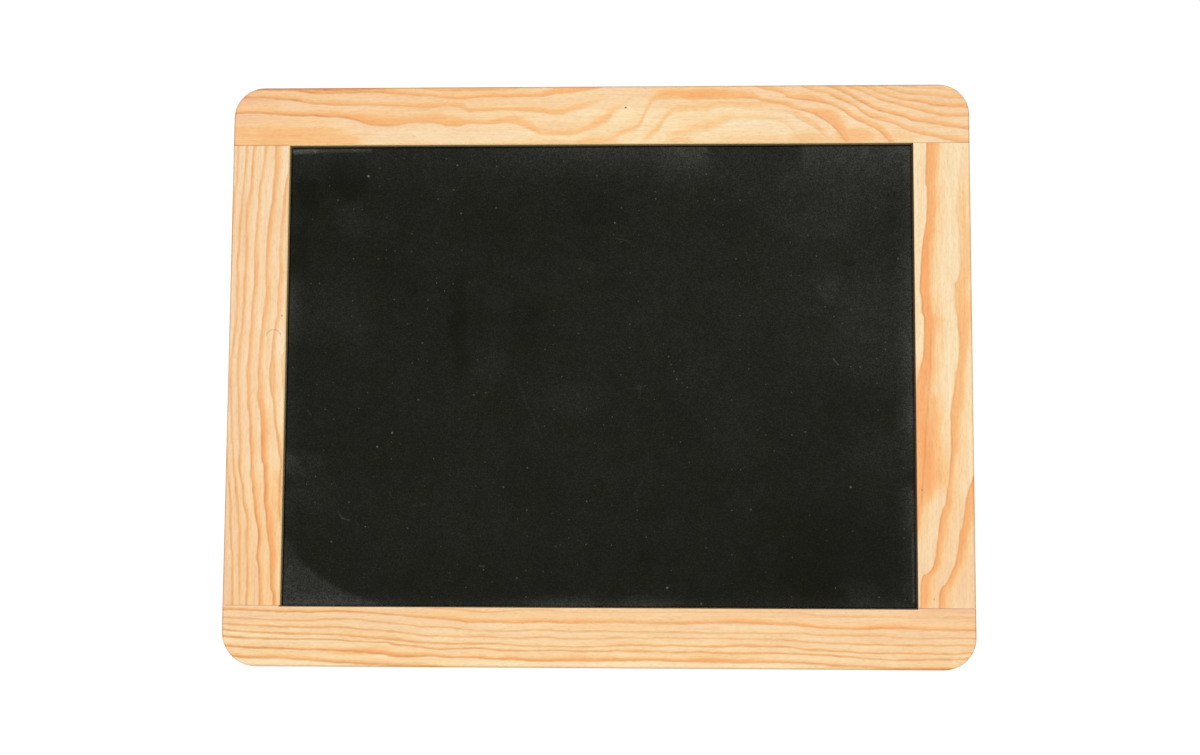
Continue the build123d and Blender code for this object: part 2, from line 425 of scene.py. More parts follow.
                (0.0, 0.59), (0.05, 0.58), (0.1, 0.59), (0.155, 0.615), (0.17, 0.615), (0.2, 0.645),
                (0.22, 0.68), (0.25, 0.7), (0.275, 0.745), (0.305, 0.77), (0.33, 0.765), (0.37, 0.78),
                (0.405, 0.805), (0.455, 0.82), (0.505, 0.84), (0.55, 0.83), (0.59, 0.8), (0.65, 0.775),
                (0.705, 0.77), (0.755, 0.755), (0.84, 0.745), (0.88, 0.72), (0.93, 0.675), (0.97, 0.665),
                (1.0, 0.64),
            )),
            Band(boldness=0.58, width=0.05, line=(
                (0.0, 0.71), (0.06, 0.72), (0.11, 0.735), (0.15, 0.735), (0.18, 0.765), (0.215, 0.785),
                (0.255, 0.82), (0.285, 0.86), (0.32, 0.885), (0.355, 0.905), (0.4, 0.93), (0.5, 0.965),
                (0.54, 0.945), (0.585, 0.91), (0.62, 0.895), (0.7, 0.88), (0.735, 0.895), (0.77, 0.88),
                (0.82, 0.87), (0.84, 0.85), (0.9, 0.82), (0.95, 0.79), (1.0, 0.775),
            )),
            Band(boldness=0.55, width=0.044, line=(
                (0.0, 0.84), (0.06, 0.845), (0.11, 0.86), (0.125, 0.88), (0.17, 0.895), (0.21, 0.9),
                (0.245, 0.925), (0.28, 0.96), (0.35, 1.02), (0.5, 1.1), (0.65, 1.03), (0.8, 1.0),
                (0.9, 0.97), (0.93, 0.94), (1.0, 0.93),
            )),
        ),
        marks=(((-119.9, 21.7), (0.35, 0.5), 0.6),),
        scuffs=(((-122.9, 13.6), 2.8),),
    ),
    "right_stile": Figure(
        grain="Y", side=1, late_side=-1, seed=4100.0, breadth=1.1, flush_lean=-0.05,
        wall_shade=(0.88, 0.94), arris_shade=(0.98, 0.5),
        flush=((0.0, 0.4), (0.15, 0.34), (0.3, 0.16), (0.6, -0.02), (1.0, -0.1)),
        rose=((0.0, 0.0), (0.5, 0.15), (1.0, 0.25)),
        darkness=((0.0, 0.75), (0.3, 0.75), (0.5, 0.5), (0.7, 0.9), (0.85, 0.6), (1.0, 0.6)),
        stains=(
            ((0.28, 0.1), (0.07, 0.13), 0.95), ((0.32, 0.26), (0.09, 0.09), 0.9),
            ((0.45, 0.06), (0.1, 0.09), 0.4),
        ),
        bands=(
            Band(
                boldness=1.0,
                width=(
                    (0.15, 0.075), (0.2, 0.112), (0.25, 0.3), (0.3, 0.4), (0.38, 0.375), (0.42, 0.325),
                    (0.5, 0.275), (0.55, 0.225), (0.6, 0.213), (0.65, 0.163), (0.7, 0.175), (0.8, 0.175),
                    (0.95, 0.175), (1.0, 0.2),
                ),
                line=(
                    (0.0, -0.4), (0.12, -0.2), (0.18, 0.0), (0.45, 0.02), (0.48, 0.05), (0.515, 0.105),
                    (0.545, 0.155), (0.58, 0.17), (0.615, 0.185), (0.63, 0.15), (0.66, 0.145),
                    (0.685, 0.11), (0.715, 0.13), (0.745, 0.145), (0.785, 0.175), (0.82, 0.225),
                    (0.86, 0.25), (0.9, 0.262), (0.91, 0.235), (0.945, 0.245), (1.0, 0.255),
                ),
            ),
            Band(
                boldness=((0.22, 0.0), (0.24, 0.8), (0.5, 0.8), (0.56, 0.5), (0.6, 0.0)),
                width=0.015,
                line=(
                    (0.0, 0.05), (0.235, 0.09), (0.28, 0.12), (0.325, 0.155), (0.39, 0.185), (0.43, 0.215),
                    (0.47, 0.235), (0.55, 0.265), (0.58, 0.28), (1.0, 0.4),
                ),
            ),
            Band(
                boldness=(
                    (0.0, 0.92), (0.3, 0.88), (0.45, 0.75), (0.6, 0.65), (0.7, 0.55), (0.85, 0.38),
                    (0.93, 0.25), (1.0, 0.05),
                ),
                width=(
                    (0.0, 0.085), (0.06, 0.175), (0.08, 0.115), (0.12, 0.115), (0.17, 0.14), (0.21, 0.13),
                    (0.25, 0.09), (0.3, 0.09), (0.35, 0.163), (0.45, 0.163), (0.5, 0.163), (0.6, 0.213),
                    (0.65, 0.325), (0.7, 0.275), (0.8, 0.25), (1.0, 0.188),
                ),
                soft=((0.0, 0.014), (0.5, 0.02), (0.62, 0.035), (0.75, 0.06), (1.0, 0.05)),
                line=(
                    (0.0, 0.06), (0.055, 0.07), (0.065, 0.09), (0.075, 0.2), (0.08, 0.25), (0.1, 0.31),
                    (0.13, 0.35), (0.17, 0.395), (0.2, 0.44), (0.225, 0.505), (0.26, 0.545), (0.28, 0.575),
                    (0.34, 0.61), (0.4, 0.61), (0.44, 0.635), (0.47, 0.675), (0.5, 0.705), (0.515, 0.735),
                    (0.57, 0.765), (0.61, 0.75), (0.64, 0.72), (0.685, 0.71), (0.695, 0.74), (0.705, 0.78),
                    (0.75, 0.82), (0.79, 0.82), (0.83, 0.785), (0.85, 0.775), (0.9, 0.81), (0.95, 0.84),
                    (1.0, 0.87),
                ),
            ),
            Band(
                boldness=0.92,
                width=(
                    (0.0, 0.11), (0.05, 0.135), (0.1, 0.115), (0.15, 0.135), (0.2, 0.165), (0.26, 0.125),
                ),
                line=(
                    (0.0, 0.37), (0.035, 0.4), (0.05, 0.47), (0.065, 0.55), (0.08, 0.6), (0.1, 0.67),
                    (0.13, 0.715), (0.155, 0.745), (0.175, 0.79), (0.21, 0.835), (0.24, 0.87), (0.26, 0.93),
                    (0.29, 0.99), (0.35, 1.05), (1.0, 1.35),
                ),
            ),
        ),
        marks=(((124.6, -84.0), (0.3, 0.45), 0.4), ((120.6, -43.8), (0.28, 0.5), 0.6)),
    ),
}


def colour_property(name, description, default):
    """A colour that a user may change."""
    return FloatVectorProperty(
        name=name, description=description, subtype="COLOR", size=3, min=0.0, max=1.0, default=default,
    )


def length_property(name, description, millimetres):
    """A length that a user may change."""
    return FloatProperty(
        name=name, description=description, unit="LENGTH", min=0.0, default=millimetres * MILLIMETRE,
    )


class PineSettings(bpy.types.PropertyGroup):
    """Colours and figure of the bare pine."""

    cream: colour_property("Cream", "Palest spring growth", tone(254, 230, 187))
    flush: colour_property("Flush", "Spring growth where the board is tanned", tone(244, 187, 145))
    honey: colour_property("Honey", "Where spring growth turns to late wood", tone(252, 209, 148))
    late_wood: colour_property("Late wood", "Orange summer growth", tone(248, 172, 103))
    ring_line: colour_property("Ring line", "Darkest line at the end of a ring", tone(192, 124, 66))
    # The colour of the painted highlight on the sanded inner arris
    arris_highlight: colour_property("Eased arris", "Fresh wood on the sanded inner arris", tone(255, 222, 162))
    ring_tilt: FloatProperty(
        name="Ring tilt",
        description="How far across the member the rings lean for each millimetre of depth",
        default=0.04, min=0.0, max=1.0,
    )


class SlateSettings(bpy.types.PropertyGroup):
    """Shape and finish of the slate panel."""

    rim_thickness: length_property("Rim thickness", "Thickness of the bevelled rim in its groove", 1.8)
    bevel_width: length_property("Bevel width", "Width of the bevel round the rim", 6.6)
    hone_ripple: length_property("Hone ripple", "Depth of the shallow waves left by honing", 0.06)
    ragged_shoulder: length_property(
        "Ragged shoulder", "How far the bevel bites unevenly into the face", 0.7,
    )
    seed: IntProperty(name="Seed", description="Which waves and chips the stone has", default=7, min=0)
    stone: colour_property("Stone", "Colour of the clean honed slate", (0.0044, 0.0054, 0.0020))
    cool_stone: colour_property("Cool stone", "Slate where it is less green", (0.0054, 0.0053, 0.0035))
    chalk: colour_property("Chalk", "Colour of the chalk dust left on it", (0.5, 0.5, 0.46))


class StageSettings(bpy.types.PropertyGroup):
    """Floor, light and camera."""

    floor_size: FloatProperty(
        name="Floor size", description="Side of the square floor", unit="LENGTH", default=12.0, min=1.0,
    )
    floor_colour: colour_property("Floor", "Colour of the floor", (0.5, 0.5, 0.5))
    sky_share: FloatProperty(
        name="Sky", description="Share of the light that comes evenly from all round", subtype="FACTOR",
        default=0.16, min=0.0, max=1.0,
    )
    key_spread: FloatProperty(
        name="Key spread", description="How wide the soft key lamp looks from the board", unit="ROTATION",
        default=math.radians(24), min=0.0,
    )
    lens: FloatProperty(
        name="Lens", description="Focal length", unit="CAMERA", default=65.53, min=1.0,
    )


class Variation(NamedTuple):
    """A noise, with the size of its features along each axis, and what its middle range turns into."""

    size: tuple
    low: float
    high: float
    to_low: float = 0.0
    to_high: float = 1.0
    detail: float = 2.0
    roughness: float = 0.5


class NodeDesk:
    """Adds nodes to one tree and joins them, so that a formula reads from top to bottom."""

    def __init__(self, tree):
        self.tree = tree

    def node(self, kind, inputs=None, **settings):
        """A new node with its settings, and its inputs fed by sockets or values."""
        made = self.tree.nodes.new(kind)
        for name, value in settings.items():
            setattr(made, name, value)
        for key, value in (inputs or {}).items():
            self.feed(made.inputs[key], value)
        return made

    def feed(self, socket, value):
        """Joins a socket to another, or sets its value."""
        if isinstance(value, bpy.types.NodeSocket):
            self.tree.links.new(value, socket)
        else:
            socket.default_value = value

    def math(self, operation, *values, clamp=False):
        """A Math node on up to three values."""
        made = self.node("ShaderNodeMath", operation=operation, use_clamp=clamp)
        for socket, value in zip(made.inputs, values):
            self.feed(socket, value)
        return made.outputs[0]

    def vector(self, operation, *values):
        """A Vector Math node that gives a vector."""
        made = self.node("ShaderNodeVectorMath", operation=operation)
        for socket, value in zip(made.inputs, values):
            self.feed(socket, value)
        return made.outputs[0]

    def axes(self, vector):
        """The three parts of a vector."""
        return self.node("ShaderNodeSeparateXYZ", {0: vector}).outputs

    def joined(self, x, y, z):
        """A vector from three parts."""
        return self.node("ShaderNodeCombineXYZ", {0: x, 1: y, 2: z}).outputs[0]

    def apart(self, x, y, centre):
        """How far a place lies from a centre, along two axes."""
        return self.math("SUBTRACT", x, centre[0]), self.math("SUBTRACT", y, centre[1])

    def square(self, x, y):
        """The squared length of a flat vector."""
        return self.math("MULTIPLY_ADD", x, x, self.math("MULTIPLY", y, y))

    def length(self, x, y):
        """The length of a flat vector."""
        return self.math("SQRT", self.square(x, y))

    def span(self, value, low, high, to_low=0.0, to_high=1.0, smooth=False):
        """A value mapped from one range to another and kept inside it."""
        made = self.node(
            "ShaderNodeMapRange",
            {"Value": value, "From Min": low, "From Max": high, "To Min": to_low, "To Max": to_high},
            interpolation_type="SMOOTHSTEP" if smooth else "LINEAR",
        )
        return made.outputs[0]

    def noise(self, vector, size, detail=2.0, roughness=0.5):
        """Noise from 0 to 1, with features of about the given size along each axis."""
        stretched = self.vector("DIVIDE", vector, size)
        made = self.node(
            "ShaderNodeTexNoise",
            {"Vector": stretched, "Scale": 1.0, "Detail": detail, "Roughness": roughness},
        )
        return made.outputs[0]

    def varied(self, vector, variation):
        """Noise with its middle range mapped as a variation says."""
        noise = self.noise(vector, variation.size, variation.detail, variation.roughness)
        return self.span(noise, variation.low, variation.high, variation.to_low, variation.to_high)

    def course(self, place, points):
        """A value that follows given points along a place from 0 to 1, or one value for every place."""
        if isinstance(points, float):
            return points
        low = min(value for _, value in points)
        reach = max(value for _, value in points) - low
        made = self.node("ShaderNodeFloatCurve", {"Value": place})
        line = made.mapping.curves[0]
        shares = [(where, (value - low) / reach) for where, value in points]
        line.points[0].location = shares[0]
        line.points[1].location = shares[-1]
        for share in shares[1:-1]:
            line.points.new(*share)
        for point in line.points:
            point.handle_type = "AUTO_CLAMPED"
        made.mapping.extend = "HORIZONTAL"
        made.mapping.update()
        return self.math("MULTIPLY_ADD", made.outputs[0], reach, low)

    def mix(self, factor, first, second, blend="MIX"):
        """Two colours mixed."""
        inputs = {0: factor, 6: first, 7: second}
        return self.node("ShaderNodeMix", inputs, data_type="RGBA", blend_type=blend).outputs[2]

    def tint(self, factor, colour, tint):
        """A colour darkened or warmed by a tint."""
        return self.mix(factor, colour, opaque(tint), "MULTIPLY")


def new_material(name):
    """An empty node material and the desk to build it on."""
    material = bpy.data.materials.new(name)
    material.use_nodes = True
    material.node_tree.nodes.clear()
    return material, NodeDesk(material.node_tree)


def finish_material(desk, shader):
    """Joins a shader to the material's output."""
    output = desk.node("ShaderNodeOutputMaterial")
    desk.feed(output.inputs["Surface"], shader.outputs[0])


RELIEF_DEPTH = 0.1 * MILLIMETRE


def finish_surface(desk, colour, roughness, gloss, height, strength):
    """Gives a material its colour and a fine relief."""
    bump = desk.node("ShaderNodeBump", {"Strength": strength, "Distance": RELIEF_DEPTH, "Height": height})
    shader = desk.node(
        "ShaderNodeBsdfPrincipled",
        {
            "Base Color": colour, "Roughness": roughness, "Specular IOR Level": gloss,
            "Normal": bump.outputs[0],
        },
    )
    finish_material(desk, shader)


def place_in_millimetres(desk):
    """The place of the shaded point, in millimetres."""
    coordinates = desk.node("ShaderNodeTexCoord").outputs
    return desk.vector("DIVIDE", coordinates["Object"], (MILLIMETRE,) * 3)


PATCH_END = 1.1


def soft_patch(desk, x, y, centre, half_size, hard=0.35):
    """1 in the middle of an ellipse, fading to 0 at its edge."""
    across, up = desk.apart(x, y, centre)
    across = desk.math("DIVIDE", across, half_size[0])
    up = desk.math("DIVIDE", up, half_size[1])
    return desk.span(desk.square(across, up), hard, PATCH_END, 1.0, 0.0, smooth=True)


class MemberPlaces(NamedTuple):
    """Half the length of a member and of its side of the sight opening, and its inner and outer edges."""

    half_run: float
    half_opening: float
    inner: float
    outer: float


# The fibres of the rails run along X, and those of the stiles along Y
MEMBER_PLACES = {
    "X": MemberPlaces(HALF_LENGTH, STILE_INNER, RAIL_INNER, HALF_HEIGHT),
    "Y": MemberPlaces(RAIL_INNER, RAIL_INNER, STILE_INNER, HALF_LENGTH),
}


class GrainSpot(NamedTuple):
    """Where a point lies in a member: shares along and across it, and its place with the fibres first."""

    along: object
    across: object
    place: object


def member_axes(desk, point, figure):
    """How far a point lies along the fibres, across them and up."""
    x, y, z = desk.axes(point)
    return (x, y, z) if figure.grain == "X" else (y, x, z)


def grain_spot(desk, point, figure, pine):
    """The grain spot of a point in millimetres. Below the face, the rings lean towards the outer edge."""
    run, cross, z = member_axes(desk, point, figure)
    member = MEMBER_PLACES[figure.grain]
    along = desk.span(run, -member.half_run, member.half_run)
    across = desk.math("MULTIPLY_ADD", cross, figure.side, -member.inner)
    across = desk.math("DIVIDE", across, member.outer - member.inner)
    depth = desk.math("SUBTRACT", 2 * HALF_THICKNESS, z)
    across = desk.math("SUBTRACT", across, desk.math("MULTIPLY", depth, pine.ring_tilt))
    place = desk.joined(run, cross, desk.math("ADD", z, figure.seed))
    return GrainSpot(along, desk.math("PINGPONG", across, 1.0), place)


# How bands of late wood wander, swell and break up along the fibres
WANDER = Variation((22, 6, 6), 0.25, 0.75, -0.012, 0.012)
RAGGED = Variation((5, 0.9, 0.9), 0.25, 0.75, -0.01, 0.01)
SWELL = Variation((16, 4, 4), 0.3, 0.7, 0.75, 1.25)
PATCHY = Variation((30, 5, 5), 0.3, 0.7, 0.75, 1.12)
BROKEN = Variation((6, 1.2, 1.2), 0.3, 0.65, 0.55, 1.2)
# The body of a band fades out over these shares of its width, and a faint tail reaches further
BODY_FADE = (0.3, 1.5)
TAIL_REACH = 0.18
TAIL_WIDTHS = 2.2
TAIL_SHARE = 0.4
# The dark line where a band ends
LINE_REACH = 0.04
LINE_BOLDNESS = 1.6
LINE_SHARE = 0.66


def late_wood(desk, spot, figure):
    """How far the wood has turned to late wood, and how dark the line is where each band ends."""
    uneven = desk.math("ADD", desk.varied(spot.place, WANDER), desk.varied(spot.place, RAGGED))
    across = desk.math("ADD", spot.across, uneven)
    swell = desk.math("MULTIPLY", desk.varied(spot.place, SWELL), figure.breadth)
    late, edge = 0.0, 0.0
    for band in figure.bands:
        past = desk.math("SUBTRACT", across, desk.course(spot.along, band.line))
        past = desk.math("MULTIPLY", past, -figure.late_side)
        width = desk.math("MULTIPLY", swell, desk.course(spot.along, band.width))
        body = desk.span(desk.math("DIVIDE", past, width), *BODY_FADE, 1.0, 0.0, smooth=True)
        reach = desk.math("MINIMUM", desk.math("MULTIPLY", width, TAIL_WIDTHS), TAIL_REACH)
        tail = desk.math("DIVIDE", desk.math("SUBTRACT", past, width), reach)
        tail = desk.span(tail, 0.0, 1.0, TAIL_SHARE, 0.0)
        started = desk.span(desk.math("DIVIDE", past, desk.course(spot.along, band.soft)), -1.0, 1.0)
        bold = desk.math("MULTIPLY", started, desk.course(spot.along, band.boldness))
        late = desk.math("MAXIMUM", late, desk.math("MULTIPLY", desk.math("MAXIMUM", body, tail), bold))
        rim = desk.span(desk.math("ABSOLUTE", past), 0.0, LINE_REACH, 1.0, 0.0, smooth=True)
        drawn = desk.math("MULTIPLY", bold, LINE_BOLDNESS, clamp=True)
        edge = desk.math("MAXIMUM", edge, desk.math("MULTIPLY", rim, drawn))
    for place, half_size, strength in figure.stains:
        stain = soft_patch(desk, spot.along, across, place, half_size, hard=0.0)
        late = desk.math("MAXIMUM", late, desk.math("MULTIPLY", stain, strength))
    patchy = desk.varied(spot.place, PATCHY)
    darkness = desk.course(spot.along, figure.darkness)
    edge = desk.math("MULTIPLY", edge, desk.math("MULTIPLY", desk.varied(spot.place, BROKEN), darkness))
    return desk.math("MULTIPLY", late, patchy), desk.math("MULTIPLY", edge, patchy)


# Distances in millimetres at which the bands of painted shade and painted highlight on the edges give way
# to one another
ARRIS_FADE = (0.2, 0.7)
SIGHT_EASING = 0.4
ARRIS_HIGHLIGHT_FADE = (0.9 * SIGHT_EASING, 1.2 * SIGHT_EASING)
WALL_END = (0.005, 0.02)
SHADE_FADE = 0.05


def from_middle(desk, z):
    """How far a height lies from the middle of the frame's thickness."""
    return desk.math("ABSOLUTE", desk.math("SUBTRACT", z, HALF_THICKNESS))


def arris(desk, point):
    """1 on the rounded outer arrises of the frame, where shade is painted, 0 elsewhere."""
    x, y, z = desk.axes(point)
    from_end = desk.math("SUBTRACT", HALF_LENGTH, desk.math("ABSOLUTE", x))
    from_side = desk.math("SUBTRACT", HALF_HEIGHT, desk.math("ABSOLUTE", y))
    inwards = desk.math("MINIMUM", from_end, from_side)
    below = desk.math("SUBTRACT", HALF_THICKNESS, from_middle(desk, z))
    return desk.span(desk.math("MAXIMUM", inwards, below), *ARRIS_FADE, 1.0, 0.0)


def sight_edge(desk, point, figure):
    """How much shade is painted on the wall and arris round the sight opening, and 1 on that wall and
    arris, where the highlight is painted.
    """
    run, cross, z = member_axes(desk, point, figure)
    member = MEMBER_PLACES[figure.grain]
    outwards = desk.math("SUBTRACT", desk.math("ABSOLUTE", cross), member.inner)
    beside = desk.math("LESS_THAN", desk.math("ABSOLUTE", run), member.half_opening + SIGHT_EASING)
    # Painted shade on the inner arris and on the wall round the slate
    share, reach = figure.arris_shade
    on_arris = desk.span(outwards, reach - SHADE_FADE, reach + SHADE_FADE, share, 0.0)
    by_face, by_slate = figure.wall_shade
    wall_end = HALF_THICKNESS - SIGHT_EASING
    on_wall = desk.span(from_middle(desk, z), SLATE_HALF, wall_end, by_slate, by_face)
    painted_shade = desk.span(outwards, *WALL_END, on_wall, on_arris)
    # Painted highlight on the inner arris
    arris_highlight = desk.span(outwards, *ARRIS_HIGHLIGHT_FADE, 1.0, 0.0)
    return desk.math("MULTIPLY", painted_shade, beside), desk.math("MULTIPLY", arris_highlight, beside)


SCUFF_FADE = (0.1, 0.35)
SCUFF_RISE = 1.2


def scuff(desk, x, y, centre, radius):
    """1 on a small arched scuff."""
    across, up = desk.apart(x, y, centre)
    off = desk.math("ABSOLUTE", desk.math("SUBTRACT", desk.length(across, up), radius))
    ring = desk.span(off, *SCUFF_FADE, 1.0, 0.0)
    return desk.math("MULTIPLY", ring, desk.span(up, 0.0, SCUFF_RISE))


# How far wood has turned late where the honey and the orange set in
HONEY_RANGE = (0.0, 0.45)
LATE_RANGE = (0.25, 0.95)
# Noise in the wood: mottled flush, then the tints of streaks, fibres, pores and flecks
MOTTLE = Variation((28, 6, 6), 0.3, 0.7, -0.16, 0.16)
FIBRE = Variation((9, 0.4, 0.4), 0.4, 0.75, detail=3.0, roughness=0.6)
FIBRE_TINTS = (
    (Variation((45, 1.3, 1.3), 0.35, 0.75), (0.96, 0.92, 0.87)),
    (FIBRE, (0.94, 0.875, 0.8)),
    (Variation((2.0, 0.6, 0.6), 0.42, 0.72, detail=1.0), (0.94, 0.92, 0.885)),
    (Variation((1.8, 0.4, 0.4), 0.62, 0.76, detail=1.0), (0.93, 0.86, 0.78)),
)
ROSE_TINT = (0.982, 1.0, 1.137)
END_GRAIN_TINT = (0.86, 0.76, 0.66)
END_GRAIN_FACING = (0.55, 0.95)
# Painted shade on the rounded outer arrises
ARRIS_SHADE_TINT = (0.8, 0.7, 0.6)
# Painted shade on the wall and inner arris round the slate
PAINTED_SHADE_TINT = (0.05, 0.035, 0.02)
# Share of the painted highlight on the inner arris
ARRIS_HIGHLIGHT_SHARE = 0.85
MARK_COLOUR = (0.13, 0.075, 0.04)
SCUFF_COLOUR = (0.3, 0.25, 0.17)
SCUFF_SHARE = 0.45
# Relief and finish of the planed wood
LATE_HEIGHT = 0.5
FIBRE_HEIGHT = 0.6
PINE_RELIEF = 0.3
PINE_ROUGHNESS = (0.68, 0.55)
PINE_GLOSS = 0.3


def pine_material(name, figure, pine):
    """Bare pine with the member's own figure, fibres, flecks and end grain."""
    material, desk = new_material(f"pine_{name}")
    point = place_in_millimetres(desk)
    spot = grain_spot(desk, point, figure, pine)
    late, edge = late_wood(desk, spot, figure)

    flush = desk.course(spot.along, figure.flush)
    flush = desk.math("MULTIPLY_ADD", spot.across, figure.flush_lean, flush)
    flush = desk.math("ADD", flush, desk.varied(spot.place, MOTTLE), clamp=True)
    colour = desk.mix(flush, opaque(pine.cream), opaque(pine.flush))
    colour = desk.mix(desk.span(late, *HONEY_RANGE), colour, opaque(pine.honey))
    colour = desk.mix(desk.span(late, *LATE_RANGE), colour, opaque(pine.late_wood))
    colour = desk.mix(desk.math("MULTIPLY", edge, LINE_SHARE), colour, opaque(pine.ring_line))
    for variation, tint in FIBRE_TINTS:
        colour = desk.tint(desk.varied(spot.place, variation), colour, tint)
    colour = desk.tint(desk.course(spot.along, figure.rose), colour, ROSE_TINT)

    normal = desk.axes(desk.node("ShaderNodeTexCoord").outputs["Normal"])
    facing = desk.math("ABSOLUTE", normal["XY".index(figure.grain)])
    colour = desk.tint(desk.span(facing, *END_GRAIN_FACING), colour, END_GRAIN_TINT)
    # Painted shade on the rounded outer arrises
    colour = desk.tint(arris(desk, point), colour, ARRIS_SHADE_TINT)
    painted_shade, arris_highlight = sight_edge(desk, point, figure)
    # Painted highlight on the inner arris
    colour = desk.mix(desk.math("MULTIPLY", arris_highlight, ARRIS_HIGHLIGHT_SHARE), colour, opaque(pine.arris_highlight))
    # Painted shade on the wall and inner arris round the slate
    colour = desk.tint(painted_shade, colour, PAINTED_SHADE_TINT)

    x, y, _ = desk.axes(point)
    for centre, half_size, strength in figure.marks:
        mark = desk.math("MULTIPLY", soft_patch(desk, x, y, centre, half_size), strength)
        colour = desk.mix(mark, colour, opaque(MARK_COLOUR))
    for centre, radius in figure.scuffs:
        rubbed = desk.math("MULTIPLY", scuff(desk, x, y, centre, radius), SCUFF_SHARE)
        colour = desk.mix(rubbed, colour, opaque(SCUFF_COLOUR))

    fibre = desk.noise(spot.place, FIBRE.size, FIBRE.detail, FIBRE.roughness)
    height = desk.math("MULTIPLY_ADD", late, LATE_HEIGHT, desk.math("MULTIPLY", fibre, FIBRE_HEIGHT))
    roughness = desk.span(late, 0.0, 1.0, *PINE_ROUGHNESS)
    finish_surface(desk, colour, roughness, PINE_GLOSS, height, PINE_RELIEF)
    return material


def dress_members(names):
    """Gives CAD members their pine."""
    pine = bpy.context.scene.slate_board_pine
    for name in names:
        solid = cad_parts[name]
        solid.data.materials.clear()
        solid.data.materials.append(pine_material(name, FIGURES[name], pine))


# Chalk left on the writing face: centre, half sizes, and how much film is added or wiped off
CHALK_PATCHES = (
    ((60.0, 35.0), (62.0, 62.0), 0.004),
    ((20.0, 20.0), (60.0, 45.0), 0.002),
    ((95.0, 55.0), (45.0, 45.0), 0.008),
    ((92.0, 76.0), (26.0, 26.0), 0.010),
    ((110.0, 79.0), (11.0, 10.0), 0.012),
    ((105.0, 15.0), (22.0, 26.0), 0.014),
    ((108.0, -28.0), (16.0, 14.0), 0.008),
    ((88.0, 32.0), (6.0, 7.0), 0.018),
    ((78.0, 56.0), (13.0, 6.0), 0.006),
    ((33.0, 76.0), (16.0, 9.0), 0.006),
    ((-5.0, 41.0), (3.5, 3.5), 0.007),
    ((-38.0, 28.0), (7.0, 5.0), 0.006),
    ((-40.0, 3.0), (10.0, 7.0), 0.007),
    ((-10.0, -10.0), (17.0, 8.0), 0.007),
    ((52.0, -22.0), (14.0, 17.0), 0.006),
    ((-95.0, 60.0), (9.0, 8.0), 0.008),
    ((-104.0, 23.0), (22.0, 14.0), 0.007),
    ((-56.0, 69.0), (7.0, 4.0), 0.005),
    ((-112.0, -34.0), (12.0, 7.0), 0.013),
    ((-106.0, -45.0), (12.0, 9.0), 0.009),
    ((99.0, -82.0), (9.0, 6.0), 0.010),
    ((-97.0, 76.0), (9.0, 13.0), -0.009),
    ((-111.0, 69.0), (6.0, 8.0), -0.011),
    ((-113.0, 50.0), (4.0, 14.0), -0.007),
    ((-51.5, 16.0), (3.6, 31.0), -0.007),
    ((-27.0, 18.0), (9.0, 13.0), -0.004),
    ((-4.0, 63.0), (10.0, 10.0), -0.004),
    ((93.0, 43.3), (2.5, 2.5), -0.012),
    ((106.0, 55.0), (12.0, 14.0), -0.002),
    ((85.0, -66.0), (42.0, 24.0), -0.006),
    ((0.0, -80.0), (115.0, 20.0), -0.004),
    ((5.0, 78.0), (110.0, 20.0), 0.004),
    ((78.0, 15.0), (14.0, 18.0), 0.004),
    ((-75.0, 40.0), (18.0, 18.0), -0.004),
)
# Noise moves these patches along X, and by this share of that along Y
WARP_UP = -0.5
# Dust along the frame: how far it reaches in, and how thick it lies at places along the edge
DUST_REACH = {"top": 18.0, "bottom": 6.5, "left": 8.0, "right": 8.5}
EDGE_DUST = {
    "top": (
        (-118, 0.02), (-95, 0.018), (-80, 0.016), (-60, 0.012), (-40, 0.018), (-22, 0.034), (-5, 0.046),
        (8, 0.048), (17, 0.038), (24, 0.06), (36, 0.068), (60, 0.06), (80, 0.045), (92, 0.042), (101, 0.05),
        (104, 0.03), (110, 0.045), (118, 0.09),
    ),
    "bottom": (
        (-118, 0.06), (-100, 0.05), (-80, 0.035), (-60, 0.02), (-35, 0.03), (-20, 0.06), (-6, 0.07),
        (2, 0.045), (14, 0.06), (26, 0.045), (36, 0.025), (62, 0.018), (90, 0.02), (102, 0.035),
        (118, 0.03),
    ),
    "left": (
        (-87, 0.05), (-74, 0.02), (-66, 0.035), (-60, 0.01), (-47, 0.02), (-40, 0.01), (-33, 0.055),
        (-28, 0.01), (-14, 0.014), (4, 0.018), (14, 0.03), (28, 0.045), (36, 0.03), (42, 0.006),
        (60, 0.006), (78, 0.008), (87, 0.04),
    ),
    "right": (
        (-87, 0.03), (-72, 0.025), (-64, 0.03), (-58, 0.05), (-50, 0.065), (-44, 0.06), (-40, 0.015),
        (-30, 0.03), (-22, 0.05), (-14, 0.08), (-4, 0.055), (10, 0.07), (24, 0.05), (38, 0.055), (52, 0.03),
        (68, 0.04), (80, 0.07), (87, 0.11),
    ),
}
# A cloth has wiped one patch clean below the top rail, and left the dust of one corner outside its sweep
WIPED_CENTRE = (59.5, 85.0)
WIPED_SIZE = (18.5, 12.5)
WIPED_HARD = 0.8
WIPED_SHARE = 0.78
SWEEP_CENTRE = (-70.0, -30.0)
SWEEP_FADE = (56.5, 59.0)
CORNER_CENTRE = (-108.0, -90.0)
CORNER_SIZE = (36.0, 24.0)
CORNER_HARD = 0.3
CORNER_FILM = 0.034
